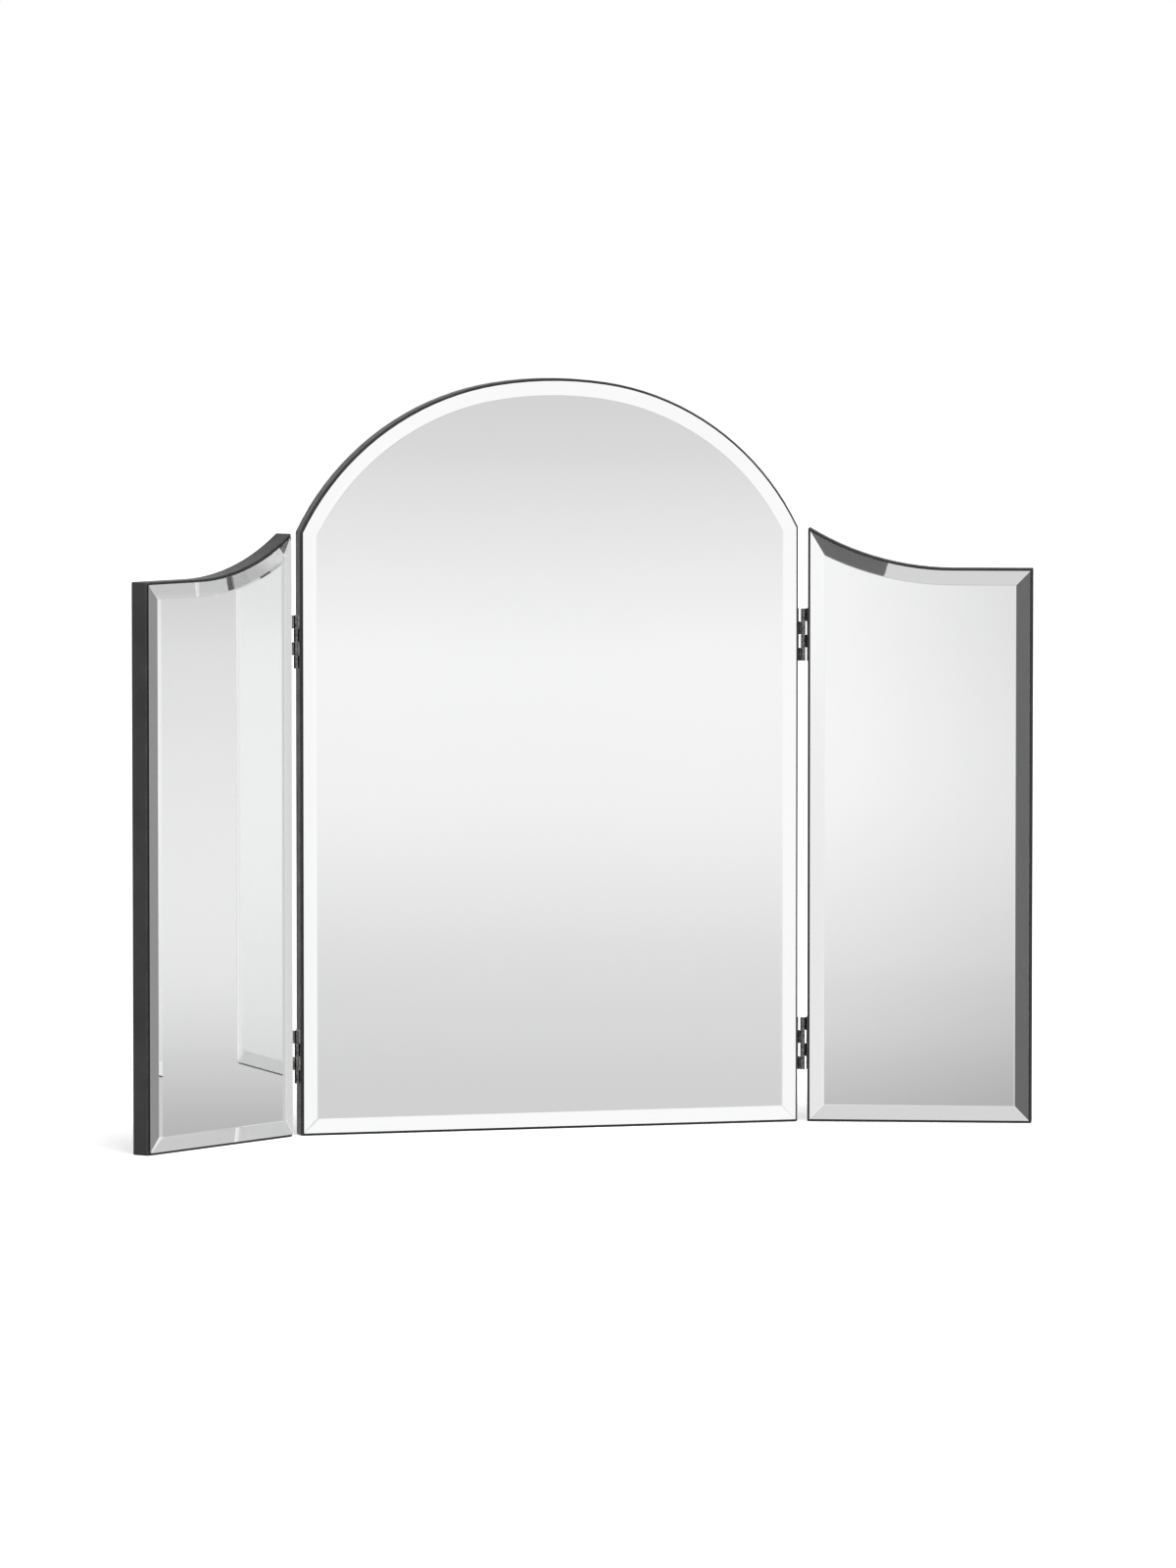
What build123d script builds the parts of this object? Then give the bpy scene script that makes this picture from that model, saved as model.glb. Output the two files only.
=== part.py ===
from build123d import *

import os
from math import atan2, cos, degrees, radians, sin, sqrt

os.makedirs("parts", exist_ok=True)

# Dressing table mirror: an arched centre panel with a hinged wing at each side.
# Every panel is a painted board with a bevelled mirror taped to its front.
# Millimetres, Z up, mirrors facing -Y, left and right as seen from the front.
# The origin is the middle of the centre board's foot.

# Centre panel
centre_width = 390.0
shoulder_height = 454.0
arch_rise = 114.0
crown_radius = 288.0
crown_half_width = 43.0

# Wings, with a scooped top that climbs towards the hinges
wing_width = 171.0
scoop_drop = 31.0
scoop_run = 110.0

# How far each wing stands folded forward of the centre panel, in degrees
left_fold = 37.5
right_fold = 20.5

# Boards
board_thickness = 14.0
corner_round = 1.0
edge_round = 0.8

# Mirrors
glass_margin = 2.0
glass_thickness = 3.0
glass_edge_thickness = 1.2
bevel_width = 11.0

# Mounting tape between board and mirror, in upright strips
tape_thickness = 0.8
tape_width = 19.0
tape_side_inset = 20.0
tape_end_inset = 25.0
centre_tape_count = 3
wing_tape_count = 2

# Butt hinges, with the pin a little in front of the boards
panel_gap = 7.0
pin_forward = 1.5
hinge_length = 40.0
lower_hinge_rise = 60.0
upper_hinge_drop = 82.0
leaf_thickness = 0.8
leaf_setback = 1.4
knuckle_radius = 1.75
knuckle_gap = 0.2
knuckles_per_leaf = 2
pin_radius = 0.75
pin_clearance = 0.05
pin_end_chamfer = 0.2

# Countersunk screws, driven into the side of each board
screw_length = 12.0
screw_shank_radius = 1.2
screw_head_radius = 2.0
screw_end_distance = 7.5
screws_per_leaf = 2
recess_length = 2.2
recess_width = 0.5
recess_depth = 0.5

# Worked out from the sizes above
front_y = -board_thickness / 2
pin_x = centre_width / 2 + panel_gap / 2
pin_y = front_y - pin_forward
bevel_depth = glass_thickness - glass_edge_thickness
bevel_taper = degrees(atan2(bevel_width, bevel_depth))
leaf_front = pin_forward + edge_round
leaf_width = board_thickness - 2 * edge_round - leaf_setback
knuckle_pitch = hinge_length / (2 * knuckles_per_leaf)
screw_spacing = (hinge_length - 2 * screw_end_distance) / (screws_per_leaf - 1)
hinge_heights = {
    "lower": lower_hinge_rise,
    "upper": shoulder_height - upper_hinge_drop,
}
sides = {"left": -1, "right": 1}
folds = {"left": radians(left_fold), "right": radians(right_fold)}


def write_piece(piece, label):
    """Name a finished piece and write its file"""
    piece.label = label
    export_step(piece, f"parts/{label}.step")


# Level planes through a hinge pin: local X runs along the panel, local Y points
# to the panel's back.


def centre_plan(name, height):
    """Plan of a hinge as the centre panel sees it"""
    return Plane(origin=(sides[name] * pin_x, pin_y, height))


def wing_plan(name, height):
    """Plan of a hinge as the folded wing sees it"""
    side = sides[name]
    fold = folds[name]
    along = (cos(fold), -side * sin(fold), 0)
    return Plane(origin=(side * pin_x, pin_y, height), x_dir=along, z_dir=(0, 0, 1))


def face_plane(plan):
    """Upright plane on the front of a plan's board, looking out of the mirror"""
    out = plan.y_dir * -1
    origin = plan.origin - out * pin_forward
    return Plane(origin=origin, x_dir=plan.x_dir, z_dir=out)


def centre_outline():
    """Straight sides under an arch with a flatter crown"""
    half = centre_width / 2
    top = shoulder_height + arch_rise
    crown_end = top - crown_radius + sqrt(crown_radius**2 - crown_half_width**2)
    with BuildSketch() as outline:
        with BuildLine():
            crown = ThreePointArc(
                (-crown_half_width, crown_end), (0, top), (crown_half_width, crown_end)
            )
            right_haunch = TangentArc(
                crown @ 1, (half, shoulder_height), tangent=crown % 1
            )
            left_haunch = TangentArc(
                crown @ 0, (-half, shoulder_height), tangent=(crown % 0) * -1
            )
            Polyline(right_haunch @ 1, (half, 0), (-half, 0), left_haunch @ 1)
        make_face()
    return outline.sketch


def wing_outline(name):
    """Level outer top, then a scoop that climbs to the shoulder height"""
    side = sides[name]
    inner = side * panel_gap / 2
    outer = inner + side * wing_width
    scoop_end = inner + side * scoop_run
    outer_height = shoulder_height - scoop_drop
    with BuildSketch() as outline:
        with BuildLine():
            level = Line((outer, outer_height), (scoop_end, outer_height))
            scoop = TangentArc(level @ 1, (inner, shoulder_height), tangent=level % 1)
            Polyline(scoop @ 1, (inner, 0), (outer, 0), level @ 0)
        make_face()
    return outline.sketch


def make_board(label, front, outline, seats):
    """Board with rounded corners, eased edges and pilot holes for its screws"""
    with BuildPart() as board:
        with BuildSketch(front.offset(-board_thickness)) as profile:
            add(outline)
            ends = profile.vertices().group_by(Axis.X)
            fillet(ends[0] + ends[-1], corner_round)
        extrude(amount=board_thickness)
        flats = board.faces().filter_by(Axis((0, 0, 0), front.z_dir))
        fillet(flats.edges(), edge_round)
        for seat in seats:
            with BuildSketch(seat):
                with GridLocations(screw_spacing, 0, screws_per_leaf, 1):
                    Circle(screw_shank_radius)
            extrude(amount=-screw_length, mode=Mode.SUBTRACT)
    write_piece(board.part, label)


def make_glass(label, front, outline):
    """Mirror a margin smaller than its board, bevelled all round"""
    back = front.offset(tape_thickness)
    with BuildSketch() as shape:
        add(outline)
        offset(amount=-glass_margin, kind=Kind.INTERSECTION)
    with BuildPart() as glass:
        with BuildSketch(back):
            add(shape.sketch)
        extrude(amount=glass_edge_thickness)
        with BuildSketch(back.offset(glass_edge_thickness)):
            add(shape.sketch)
        extrude(amount=bevel_depth, taper=bevel_taper)
    write_piece(glass.part, label)


def make_tape(label, front, middle, width, height, count):
    """Upright strips of mounting tape, spread across a panel"""
    spread = width - 2 * tape_side_inset - tape_width
    length = height - 2 * tape_end_inset
    with BuildPart() as tape:
        with BuildSketch(front):
            with Locations((middle, height / 2)):
                with GridLocations(spread / (count - 1), 0, count, 1):
                    Rectangle(tape_width, length)
        extrude(amount=tape_thickness)
    write_piece(tape.part, label)


def leaf_seat(plan, flank):
    """Plane on the side of a board at the middle of a leaf, facing the hinge gap"""
    across = plan.x_dir * flank
    back = plan.y_dir * (leaf_front + leaf_width / 2)
    middle = plan.origin + across * (panel_gap / 2) + back
    return Plane(origin=middle, x_dir=(0, 0, 1), z_dir=across * -1)


def make_leaf(label, plan, flank, first_knuckle):
    """Leaf on the side of a board, with webs that reach out to its knuckles"""
    start = -hinge_length / 2
    plate_x = flank * (panel_gap - leaf_thickness) / 2
    web_end = (plate_x, leaf_front + leaf_thickness / 2)
    web_middle = (web_end[0] / 2, web_end[1] / 2)
    with BuildPart() as leaf:
        with BuildSketch(plan.offset(start)):
            with Locations((plate_x, leaf_front + leaf_width / 2)):
                Rectangle(leaf_thickness, leaf_width)
        extrude(amount=hinge_length)
        for index in range(knuckles_per_leaf):
            foot = start + (first_knuckle + 2 * index) * knuckle_pitch
            with BuildSketch(plan.offset(foot + knuckle_gap / 2)):
                SlotCenterPoint(web_middle, web_end, leaf_thickness)
                Circle(knuckle_radius)
            extrude(amount=knuckle_pitch - knuckle_gap)
        with BuildSketch(plan.offset(start)):
            Circle(pin_radius + pin_clearance)
        extrude(amount=hinge_length, mode=Mode.SUBTRACT)
        with Locations(leaf_seat(plan, flank)):
            with GridLocations(screw_spacing, 0, screws_per_leaf, 1):
                Cone(
                    screw_shank_radius,
                    screw_head_radius,
                    leaf_thickness,
                    align=(Align.CENTER, Align.CENTER, Align.MIN),
                    mode=Mode.SUBTRACT,
                )
    write_piece(leaf.part, label)


def make_pin(label, plan):
    """Plain hinge pin, level with the end knuckles"""
    with BuildPart() as pin:
        with BuildSketch(plan.offset(-hinge_length / 2)):
            Circle(pin_radius)
        extrude(amount=hinge_length)
        chamfer(pin.edges().filter_by(GeomType.CIRCLE), pin_end_chamfer)
    write_piece(pin.part, label)


def make_screws(label, seat):
    """Countersunk screws with a cross recess, flush with the leaf"""
    with BuildPart(seat) as screws:
        with GridLocations(screw_spacing, 0, screws_per_leaf, 1):
            Cylinder(
                screw_shank_radius,
                screw_length,
                align=(Align.CENTER, Align.CENTER, Align.MAX),
            )
            Cone(
                screw_shank_radius,
                screw_head_radius,
                leaf_thickness,
                align=(Align.CENTER, Align.CENTER, Align.MIN),
            )
        with BuildSketch(seat.offset(leaf_thickness)):
            with GridLocations(screw_spacing, 0, screws_per_leaf, 1):
                Rectangle(recess_length, recess_width)
                Rectangle(recess_width, recess_length)
        extrude(amount=-recess_depth, mode=Mode.SUBTRACT)
    write_piece(screws.part, label)


# Centre panel
centre_front = face_plane(Plane(origin=(0, pin_y, 0)))
centre_seats = [
    leaf_seat(centre_plan(name, height), -side)
    for name, side in sides.items()
    for height in hinge_heights.values()
]
make_board("centre_board", centre_front, centre_outline(), centre_seats)
make_glass("centre_mirror", centre_front, centre_outline())
make_tape(
    "centre_tape", centre_front, 0, centre_width, shoulder_height, centre_tape_count
)

# Wings
for name, side in sides.items():
    wing_front = face_plane(wing_plan(name, 0))
    wing_seats = [
        leaf_seat(wing_plan(name, height), side) for height in hinge_heights.values()
    ]
    make_board(f"{name}_wing_board", wing_front, wing_outline(name), wing_seats)
    make_glass(f"{name}_wing_mirror", wing_front, wing_outline(name))
    make_tape(
        f"{name}_wing_tape",
        wing_front,
        side * (panel_gap + wing_width) / 2,
        wing_width,
        shoulder_height - scoop_drop,
        wing_tape_count,
    )

# Hinges: from the foot up the knuckles are centre, wing, centre, wing
for name, side in sides.items():
    for level, height in hinge_heights.items():
        hinge = f"{name}_{level}_hinge"
        on_centre = centre_plan(name, height)
        on_wing = wing_plan(name, height)
        make_leaf(f"{hinge}_centre_leaf", on_centre, -side, 0)
        make_leaf(f"{hinge}_wing_leaf", on_wing, side, 1)
        make_pin(f"{hinge}_pin", on_centre)
        make_screws(f"{hinge}_centre_screws", leaf_seat(on_centre, -side))
        make_screws(f"{hinge}_wing_screws", leaf_seat(on_wing, side))
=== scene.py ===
import math

import bmesh
import bpy
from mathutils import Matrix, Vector


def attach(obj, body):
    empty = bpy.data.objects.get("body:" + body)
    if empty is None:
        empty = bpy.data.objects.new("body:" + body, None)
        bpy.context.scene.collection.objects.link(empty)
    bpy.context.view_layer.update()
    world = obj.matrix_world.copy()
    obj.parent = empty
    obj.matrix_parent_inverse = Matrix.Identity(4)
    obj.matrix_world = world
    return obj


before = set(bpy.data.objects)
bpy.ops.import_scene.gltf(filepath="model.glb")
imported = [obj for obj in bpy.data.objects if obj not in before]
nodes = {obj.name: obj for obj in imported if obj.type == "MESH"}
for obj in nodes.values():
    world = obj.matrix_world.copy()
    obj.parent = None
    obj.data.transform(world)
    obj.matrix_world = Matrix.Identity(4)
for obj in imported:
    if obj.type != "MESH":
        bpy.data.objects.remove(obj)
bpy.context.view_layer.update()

scene = bpy.context.scene

# Dressing table mirror: charcoal boards with bevelled mirrors, silvered on the
# back, and dark steel hinges. Metres, Z up, the mirrors face -Y.

# Camera, at the photograph's viewing angle
CAMERA_PLACE = (-1.8717, -6.7705, 0.737)
CAMERA_YAW = math.radians(15.697)
CAMERA_PITCH = math.radians(-3.875)
FOCAL_PIXELS = 9500
LONG_SIDE_PIXELS = 1600
SENSOR_WIDTH = 36
FURTHEST = 100

# Silvering, a thin sheet just inside the back of each glass
SILVER_INSET = 0.0002
SILVER_DEPTH = 0.00005
SILVER_THICKNESS = 0.0001
PANELS = {"centre": "centre_panel", "left_wing": "left_wing", "right_wing": "right_wing"}

# What counts as facing back, as the same way, as the same place and as flat
BACKWARD = 0.5
SAME_WAY = 0.999
SAME_PLACE = 1e-6
FLAT_ANGLE = 0.001

# Painted glow: the silvering emits light at one ray depth, standing in for light trapped
# inside a bevel's rim
PAINTED_GLOW_LEVEL = 0.26
PAINTED_GLOW_DEPTH = 3

# How far in from an edge paint and plating are made lighter, partly worn and partly a painted
# highlight
BOARD_WEAR_AND_HIGHLIGHT = 0.0012
STEEL_WEAR_AND_HIGHLIGHT = 0.0003

# Floor: white near the object by light, white further out by itself
FLOOR_HALF = 12
FLOOR_NEAR = 0.7
FLOOR_FAR = 2.2
FLOOR_GLOW = 0.42

# The studio as the mirrors see it: a soft ripple all round, then the zones over
# it. A zone has a heading, in degrees from -Y towards +X, and a height, in
# degrees above the horizon, each as middle, half width and soft edge. Its level
# is one brightness, or pairs of a height and the brightness there.
STUDIO_LEVEL = 0.87
RIPPLE_ACROSS = 0.09
RIPPLE_UP = 0.05
RIPPLES_ROUND = 10
FILL_LEVEL = 0.4
LOWEST = -8
HIGHEST = 0
FRONT_FLOOR = (
    (-6.1, 0.65), (-5.5, 0.69), (-4.8, 0.78), (-4.2, 0.885),
    (-3.6, 0.925), (-2.9, 0.915), (-2.0, 0.76), (-1.4, 0.67),
)
SIDE_FLOOR = (
    (-6.1, 0.46), (-5.75, 0.575), (-5.5, 0.68), (-5.1, 0.8),
    (-4.45, 0.842), (-3.6, 0.8), (-3.0, 0.737), (-2.45, 0.608),
)
BRIGHT_FLOOR = (
    (-6.1, 0.62), (-5.75, 0.71), (-5.35, 0.83), (-4.8, 0.91),
    (-4.15, 0.96), (-3.6, 0.96), (-3.0, 0.93), (-2.7, 0.86),
)
LEFT_FLOOR = ((-6.1, 0.48), (-5.5, 0.66), (-5.0, 0.79), (-4.0, 0.955), (-2.7, 0.98))
CORNER_FLOOR = ((-6.1, 0.84), (-4.5, 0.86), (-3.3, 0.93), (-2.7, 0.99))
LEFT_SHADE = ((-6.1, 0.38), (-5.5, 0.5), (-5.0, 0.62), (-4.0, 0.76), (-2.7, 0.7))
STUDIO_ZONES = {
    "front wall": ((15.5, 12.5, 4), (-4, 10.5, 4), 1.0),
    "side wall": ((92, 12, 4), (-3, 17, 4), 0.61),
    "side corner": ((73, 3, 3), (-3.7, 3, 2), 0.76),
    "low side": ((45, 8, 3), (-13.5, 4.5, 2), 0.66),
    "high side": ((54, 6, 3), (6, 4, 2), 0.68),
    "side floor": ((88.4, 2.5, 2), (-4, 2.8, 1.5), SIDE_FLOOR),
    "bright floor": ((48, 8, 3), (-4, 2.8, 1.5), BRIGHT_FLOOR),
    "front floor": ((15.7, 3, 2.5), (-3.7, 3.2, 2), FRONT_FLOOR),
    "left corner": ((-14, 3, 2.5), (-4.2, 2.6, 2), CORNER_FLOOR),
    "left wall": ((-23, 2.8, 0.6), (-3, 15, 3), 0.66),
    "left floor": ((-23, 2.8, 0.6), (-4, 2.8, 1.5), LEFT_FLOOR),
    "left shade": ((-21.5, 0.3, 2.6), (-4, 2.8, 1.5), LEFT_SHADE),
    "dark flag": ((-28.4, 2.45, 0.1), (-11.7, 2, 0.6), 0.075),
    "dark post": ((-33.1, 1.4, 0.4), (-4.4, 2.6, 0.8), 0.075),
}

# Softboxes: place, aim, side and power in watts
LAMPS = {
    "top_softbox": ((0.2, -0.8, 2.4), (0, 0, 0.2), 1.6, 72),
    "front_softbox": ((-1.6, -2.6, 1.4), (0, 0, 0.3), 1.4, 24),
}


# Node helpers


def new_material(name):
    """Node material with a linked shader: (material, tree, shader)"""
    material = bpy.data.materials.new(name)
    material.use_nodes = True
    tree = material.node_tree
    tree.nodes.clear()
    output = tree.nodes.new("ShaderNodeOutputMaterial")
    shader = tree.nodes.new("ShaderNodeBsdfPrincipled")
    tree.links.new(shader.outputs["BSDF"], output.inputs["Surface"])
    return material, tree, shader


def calculate(tree, operation, *values):
    """Math node on sockets and numbers: its result socket"""
    node = tree.nodes.new("ShaderNodeMath")
    node.operation = operation
    for place, value in zip(node.inputs, values):
        if isinstance(value, (int, float)):
            place.default_value = value
        else:
            tree.links.new(value, place)
    return node.outputs["Value"]


def spread(tree, factor, low, high, start=0.3, end=0.7, smooth=False):
    """Map a factor from start to end onto low to high"""
    node = tree.nodes.new("ShaderNodeMapRange")
    if smooth:
        node.interpolation_type = "SMOOTHSTEP"
    node.inputs["From Min"].default_value = start
    node.inputs["From Max"].default_value = end
    node.inputs["To Min"].default_value = low
    node.inputs["To Max"].default_value = high
    tree.links.new(factor, node.inputs["Value"])
    return node.outputs["Result"]


def noise(tree, scale, detail, stretch=(1, 1, 1)):
    """Noise over the object's own metres: its factor socket"""
    coords = tree.nodes.new("ShaderNodeTexCoord")
    mapping = tree.nodes.new("ShaderNodeMapping")
    mapping.inputs["Scale"].default_value = stretch
    texture = tree.nodes.new("ShaderNodeTexNoise")
    texture.inputs["Scale"].default_value = scale
    texture.inputs["Detail"].default_value = detail
    tree.links.new(coords.outputs["Object"], mapping.inputs["Vector"])
    tree.links.new(mapping.outputs["Vector"], texture.inputs["Vector"])
    return texture.outputs["Fac"]


def shades(tree, factor, dark, light, start=0.3, end=0.7):
    """Colour between two colours, by a factor"""
    ramp = tree.nodes.new("ShaderNodeValToRGB")
    ramp.color_ramp.elements[0].position = start
    ramp.color_ramp.elements[0].color = (*dark, 1)
    ramp.color_ramp.elements[1].position = end
    ramp.color_ramp.elements[1].color = (*light, 1)
    tree.links.new(factor, ramp.inputs["Fac"])
    return ramp.outputs["Color"]


def blend_colours(tree, factor, first, second):
    """Mix of two colour sockets"""
    node = tree.nodes.new("ShaderNodeMix")
    node.data_type = "RGBA"
    tree.links.new(factor, node.inputs["Factor"])
    tree.links.new(first, node.inputs["A"])
    tree.links.new(second, node.inputs["B"])
    return node.outputs["Result"]


def bump(tree, factor, strength, distance):
    """Bump from a factor, distance in metres"""
    node = tree.nodes.new("ShaderNodeBump")
    node.inputs["Strength"].default_value = strength
    node.inputs["Distance"].default_value = distance
    tree.links.new(factor, node.inputs["Height"])
    return node.outputs["Normal"]


def edges(tree, radius, low, high):
    """Mask that rises at a solid's edges, broken up by noise"""
    rounded = tree.nodes.new("ShaderNodeBevel")
    rounded.samples = 4
    rounded.inputs["Radius"].default_value = radius
    flat = tree.nodes.new("ShaderNodeNewGeometry")
    turn = tree.nodes.new("ShaderNodeVectorMath")
    turn.operation = "DOT_PRODUCT"
    tree.links.new(rounded.outputs["Normal"], turn.inputs[0])
    tree.links.new(flat.outputs["Normal"], turn.inputs[1])
    edge = spread(tree, turn.outputs["Value"], 1, 0, low, high)
    patchy = spread(tree, noise(tree, 140, 5), 0.15, 1, 0.42, 0.62)
    return calculate(tree, "MULTIPLY", edge, patchy)


# Materials


def painted_board():
    """Charcoal satin paint, sprayed, with orange peel and edges made lighter, as worn paint
    and as a painted highlight
    """
    material, tree, shader = new_material("painted_board")
    mottle = noise(tree, 35, 5)
    paint = shades(tree, mottle, (0.026, 0.026, 0.027), (0.036, 0.036, 0.037))
    # Lighter edge colour: worn paint and a painted highlight
    rubbed_and_highlit = shades(tree, noise(tree, 300, 3), (0.075, 0.075, 0.076), (0.12, 0.12, 0.118))
    wear_and_highlight = edges(tree, BOARD_WEAR_AND_HIGHLIGHT, 0.8, 0.99)
    tree.links.new(blend_colours(tree, wear_and_highlight, paint, rubbed_and_highlit), shader.inputs["Base Color"])
    satin = spread(tree, noise(tree, 120, 3), 0.36, 0.5)
    tree.links.new(satin, shader.inputs["Roughness"])
    peel = bump(tree, noise(tree, 900, 2), 0.15, 0.0001)
    tree.links.new(peel, shader.inputs["Normal"])
    shader.inputs["Specular IOR Level"].default_value = 0.2
    return material


def clear_glass():
    """Polished float glass in front of the silvering, faintly green"""
    material, tree, shader = new_material("mirror_glass")
    tint = noise(tree, 4, 2)
    colour = shades(tree, tint, (0.98, 0.99, 0.985), (0.988, 0.994, 0.99))
    tree.links.new(colour, shader.inputs["Base Color"])
    shader.inputs["Transmission Weight"].default_value = 1
    shader.inputs["Roughness"].default_value = 0
    shader.inputs["IOR"].default_value = 1.52
    return material


def silvering():
    """Silver on the back of the glass, with a painted glow at one ray depth"""
    material, tree, shader = new_material("silvering")
    shader.inputs["Metallic"].default_value = 1
    colour = shades(tree, noise(tree, 3, 3), (0.955, 0.957, 0.955), (0.965, 0.966, 0.965))
    tree.links.new(colour, shader.inputs["Base Color"])
    shader.inputs["Roughness"].default_value = 0
    # Painted glow: the silvering emits light at one ray depth, standing in for light trapped
    # in the bevel's rim
    path = tree.nodes.new("ShaderNodeLightPath")
    painted_glow_rays = calculate(tree, "COMPARE", path.outputs["Ray Depth"], PAINTED_GLOW_DEPTH, 0.5)
    shader.inputs["Emission Color"].default_value = (1, 1, 1, 1)
    glow = calculate(tree, "MULTIPLY", painted_glow_rays, PAINTED_GLOW_LEVEL)
    tree.links.new(glow, shader.inputs["Emission Strength"])
    return material


def dark_steel(name, dark, light, smooth, rough):
    """Dark plated steel, lighter along its edges, as worn plating and as a painted highlight
    """
    material, tree, shader = new_material(name)
    shader.inputs["Metallic"].default_value = 1
    plated = shades(tree, noise(tree, 500, 5), dark, light, 0.35, 0.65)
    # Lighter edge colour: worn plating and a painted highlight
    bright = shades(tree, noise(tree, 900, 3), (0.3, 0.295, 0.285), (0.45, 0.44, 0.43))
    wear_and_highlight = edges(tree, STEEL_WEAR_AND_HIGHLIGHT, 0.85, 0.99)
    tree.links.new(blend_colours(tree, wear_and_highlight, plated, bright), shader.inputs["Base Color"])
    brushed = spread(tree, noise(tree, 1500, 3, (1, 1, 0.2)), smooth, rough)
    tree.links.new(brushed, shader.inputs["Roughness"])
    grain = bump(tree, noise(tree, 4000, 2), 0.12, 0.00005)
    tree.links.new(grain, shader.inputs["Normal"])
    return material


def foam_tape():
    """Closed-cell foam"""
    material, tree, shader = new_material("foam_tape")
    cells = noise(tree, 2500, 2)
    colour = shades(tree, cells, (0.55, 0.55, 0.53), (0.74, 0.74, 0.72))
    tree.links.new(colour, shader.inputs["Base Color"])
    tree.links.new(bump(tree, cells, 0.5, 0.0002), shader.inputs["Normal"])
    tree.links.new(spread(tree, cells, 0.82, 0.95), shader.inputs["Roughness"])
    return material


def dress(node, material):
    """Give a CAD node one material"""
    node.data.materials.clear()
    node.data.materials.append(material)


paint = painted_board()
glass = clear_glass()
silver = silvering()
hinge_steel = dark_steel("hinge_steel", (0.06, 0.058, 0.056), (0.24, 0.235, 0.228), 0.16, 0.3)
screw_steel = dark_steel("screw_steel", (0.12, 0.118, 0.114), (0.3, 0.295, 0.285), 0.2, 0.34)
tape = foam_tape()
finishes = {"board": paint, "mirror": glass, "tape": tape, "screws": screw_steel}

for name, node in nodes.items():
    dress(node, finishes.get(name.split("_")[-1], hinge_steel))


# Silvering


def back_normal(mesh):
    """Direction out of the back of a glass"""
    total = Vector()
    for polygon in mesh.polygons:
        if polygon.normal.y > BACKWARD:
            total += polygon.normal * polygon.area
    return total.normalized()


def make_silvering(panel, body):
    """Thin sheet inside the glass, a hair in front of its back face"""
    source = nodes[f"{panel}_mirror"].data
    out = back_normal(source)
    sheet = bmesh.new()
    sheet.from_mesh(source)
    others = [face for face in sheet.faces if face.normal.dot(out) < SAME_WAY]
    bmesh.ops.delete(sheet, geom=others, context="FACES")
    bmesh.ops.remove_doubles(sheet, verts=sheet.verts, dist=SAME_PLACE)
    bmesh.ops.dissolve_limit(
        sheet, angle_limit=FLAT_ANGLE, verts=sheet.verts, edges=sheet.edges
    )
    rim = bmesh.ops.inset_region(sheet, faces=sheet.faces, thickness=SILVER_INSET)
    bmesh.ops.delete(sheet, geom=rim["faces"], context="FACES")
    for vert in sheet.verts:
        vert.co -= out * SILVER_DEPTH
    front = bmesh.ops.extrude_face_region(sheet, geom=sheet.faces[:])
    for item in front["geom"]:
        if isinstance(item, bmesh.types.BMVert):
            item.co -= out * SILVER_THICKNESS
    bmesh.ops.recalc_face_normals(sheet, faces=sheet.faces)
    mesh = bpy.data.meshes.new(f"{panel}_silvering")
    sheet.to_mesh(mesh)
    sheet.free()
    mesh.materials.append(silver)
    piece = bpy.data.objects.new(f"{panel}_silvering", mesh)
    scene.collection.objects.link(piece)
    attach(piece, body)


for panel, body in PANELS.items():
    make_silvering(panel, body)


# Studio


def make_floor():
    """White floor, level with the boards' feet, that keeps the object's shadow"""
    corners = [
        (x * FLOOR_HALF, y * FLOOR_HALF, 0) for x, y in ((-1, -1), (1, -1), (1, 1), (-1, 1))
    ]
    mesh = bpy.data.meshes.new("floor")
    mesh.from_pydata(corners, [], [(0, 1, 2, 3)])
    floor = bpy.data.objects.new("floor", mesh)
    scene.collection.objects.link(floor)
    material, tree, shader = new_material("floor_white")
    shader.inputs["Base Color"].default_value = (0.85, 0.85, 0.85, 1)
    shader.inputs["Roughness"].default_value = 1
    shader.inputs["Specular IOR Level"].default_value = 0
    shader.inputs["Emission Color"].default_value = (1, 1, 1, 1)
    place = tree.nodes.new("ShaderNodeTexCoord")
    length = tree.nodes.new("ShaderNodeVectorMath")
    length.operation = "LENGTH"
    tree.links.new(place.outputs["Object"], length.inputs[0])
    reach = length.outputs["Value"]
    glow = spread(tree, reach, FLOOR_GLOW, 1, FLOOR_NEAR, FLOOR_FAR, smooth=True)
    path = tree.nodes.new("ShaderNodeLightPath")
    seen = calculate(tree, "MULTIPLY", glow, path.outputs["Is Camera Ray"])
    tree.links.new(seen, shader.inputs["Emission Strength"])
    mesh.materials.append(material)
    floor.visible_glossy = False
    floor.visible_transmission = False


def band(tree, angle, middle, half, soft):
    """1 within half of the middle, falling to 0 over the soft edge"""
    off = calculate(tree, "ABSOLUTE", calculate(tree, "SUBTRACT", angle, middle))
    return spread(tree, off, 1, 0, half, half + soft, smooth=True)


def by_height(tree, height, level):
    """Brightness by height"""
    ramp = tree.nodes.new("ShaderNodeValToRGB")
    ramp.color_ramp.interpolation = "CARDINAL"
    stops = ramp.color_ramp.elements
    span = HIGHEST - LOWEST
    while len(stops) < len(level):
        stops.new(1)
    for stop, (angle, bright) in zip(stops, level):
        stop.position = (angle - LOWEST) / span
        stop.color = (bright, bright, bright, 1)
    tree.links.new(spread(tree, height, 0, 1, LOWEST, HIGHEST), ramp.inputs["Fac"])
    return ramp.outputs["Color"]


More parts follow.
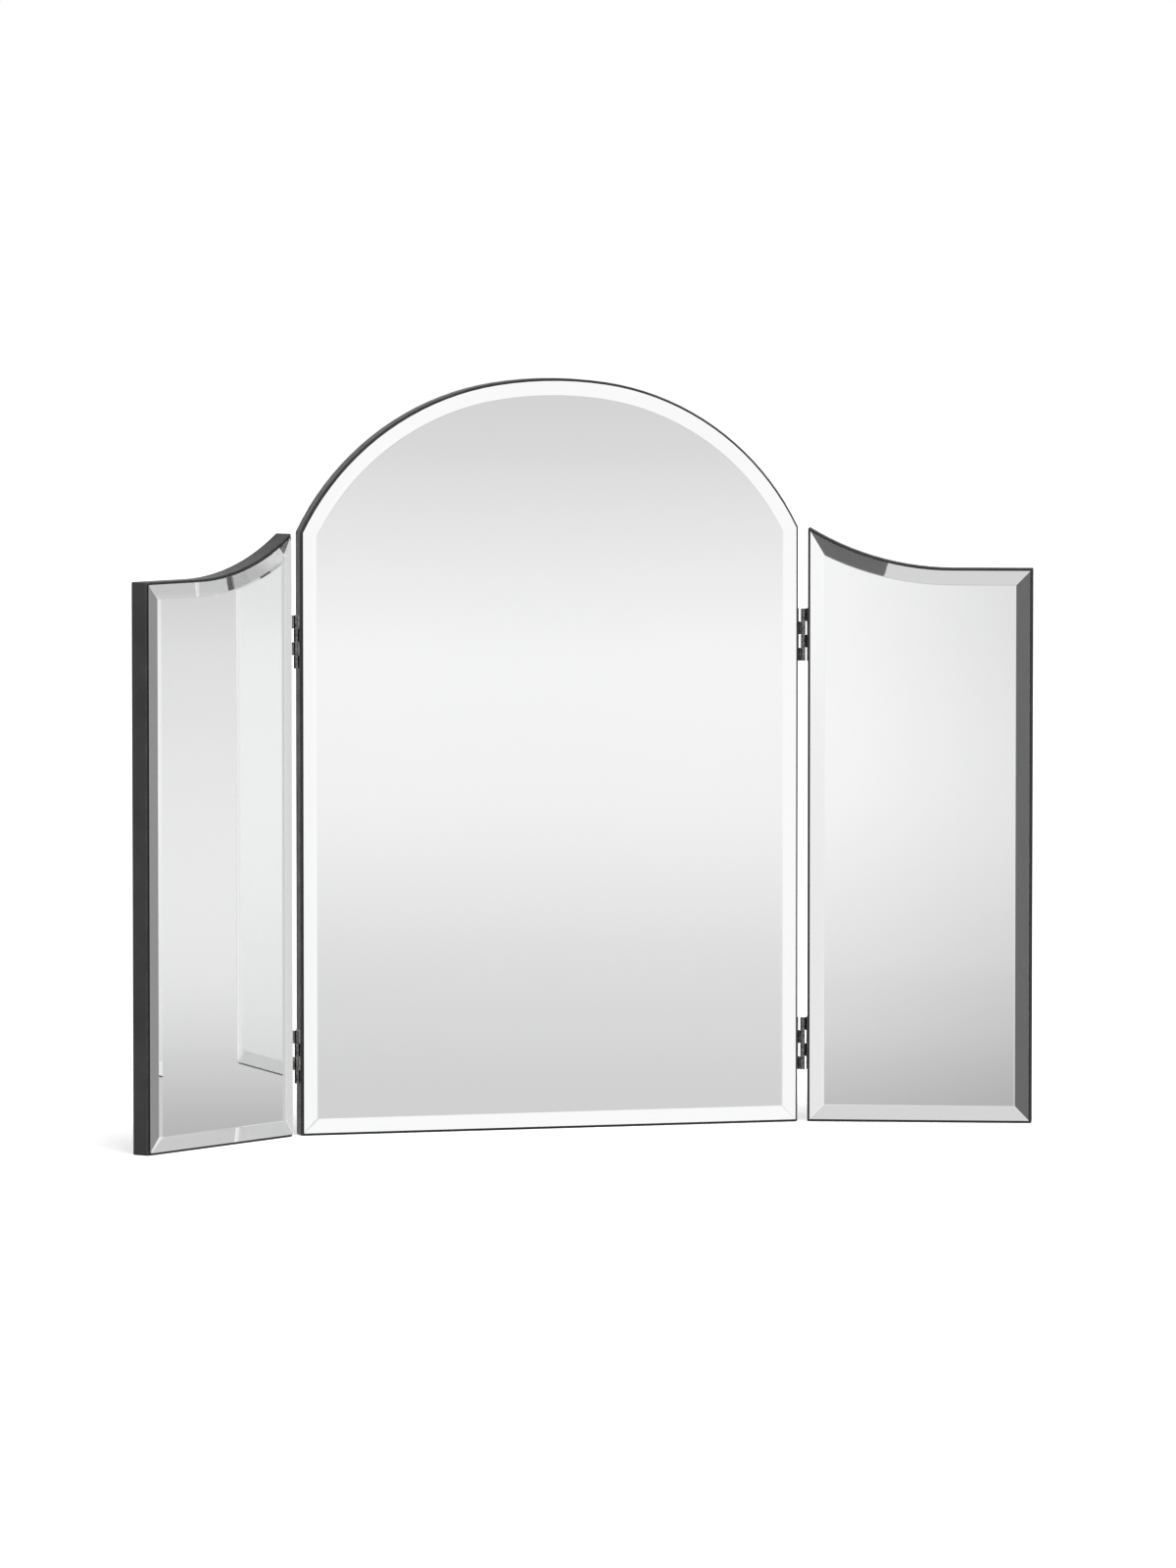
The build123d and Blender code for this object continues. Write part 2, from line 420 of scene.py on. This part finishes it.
def studio_level(tree):
    """Brightness of the studio in the way that a ray goes: its socket"""
    coords = tree.nodes.new("ShaderNodeTexCoord")
    way = tree.nodes.new("ShaderNodeSeparateXYZ")
    tree.links.new(coords.outputs["Generated"], way.inputs["Vector"])
    forward = calculate(tree, "MULTIPLY", way.outputs["Y"], -1)
    turn = calculate(tree, "ARCTAN2", way.outputs["X"], forward)
    heading = calculate(tree, "DEGREES", turn)
    rise = calculate(tree, "ARCSINE", way.outputs["Z"])
    height = calculate(tree, "DEGREES", rise)
    level = STUDIO_LEVEL
    for angle, swing in ((turn, RIPPLE_ACROSS), (rise, RIPPLE_UP)):
        ripple = calculate(tree, "SINE", calculate(tree, "MULTIPLY", angle, RIPPLES_ROUND))
        level = calculate(tree, "MULTIPLY_ADD", ripple, swing, level)
    for across, up, bright in STUDIO_ZONES.values():
        inside = calculate(
            tree, "MULTIPLY", band(tree, heading, *across), band(tree, height, *up)
        )
        if isinstance(bright, tuple):
            bright = by_height(tree, height, bright)
        change = calculate(tree, "SUBTRACT", bright, level)
        level = calculate(tree, "MULTIPLY_ADD", change, inside, level)
    return level


def make_world():
    """White to the camera, the studio to mirrors and metal, plain fill light"""
    world = bpy.data.worlds.new("studio")
    scene.world = world
    world.use_nodes = True
    tree = world.node_tree
    tree.nodes.clear()
    output = tree.nodes.new("ShaderNodeOutputWorld")
    background = tree.nodes.new("ShaderNodeBackground")
    background.inputs["Color"].default_value = (1, 1, 1, 1)
    path = tree.nodes.new("ShaderNodeLightPath")
    mirrored = calculate(
        tree, "MAXIMUM", path.outputs["Is Glossy Ray"], path.outputs["Is Transmission Ray"]
    )
    change = calculate(tree, "SUBTRACT", studio_level(tree), FILL_LEVEL)
    lit = calculate(tree, "MULTIPLY_ADD", change, mirrored, FILL_LEVEL)
    strength = calculate(tree, "MAXIMUM", lit, path.outputs["Is Camera Ray"])
    tree.links.new(strength, background.inputs["Strength"])
    tree.links.new(background.outputs["Background"], output.inputs["Surface"])


def make_lamp(name, place, aim, size, power):
    """Square softbox, aimed at a point"""
    data = bpy.data.lights.new(name, "AREA")
    data.shape = "SQUARE"
    data.size = size
    data.energy = power
    lamp = bpy.data.objects.new(name, data)
    lamp.location = place
    way = Vector(aim) - Vector(place)
    lamp.rotation_euler = way.to_track_quat("-Z", "Y").to_euler()
    lamp.visible_glossy = False
    lamp.visible_transmission = False
    lamp.visible_camera = False
    scene.collection.objects.link(lamp)


def make_camera():
    """Long lens, well back, as in the photograph"""
    data = bpy.data.cameras.new("camera")
    data.sensor_width = SENSOR_WIDTH
    data.lens = FOCAL_PIXELS * SENSOR_WIDTH / LONG_SIDE_PIXELS
    data.clip_end = FURTHEST
    camera = bpy.data.objects.new("camera", data)
    camera.location = CAMERA_PLACE
    level = math.cos(CAMERA_PITCH)
    across = math.sin(CAMERA_YAW) * level
    along = math.cos(CAMERA_YAW) * level
    way = Vector((across, along, math.sin(CAMERA_PITCH)))
    camera.rotation_euler = way.to_track_quat("-Z", "Y").to_euler()
    scene.collection.objects.link(camera)
    scene.camera = camera


make_floor()
make_world()
for name, settings in LAMPS.items():
    make_lamp(name, *settings)
make_camera()
scene.view_settings.view_transform = "Standard"
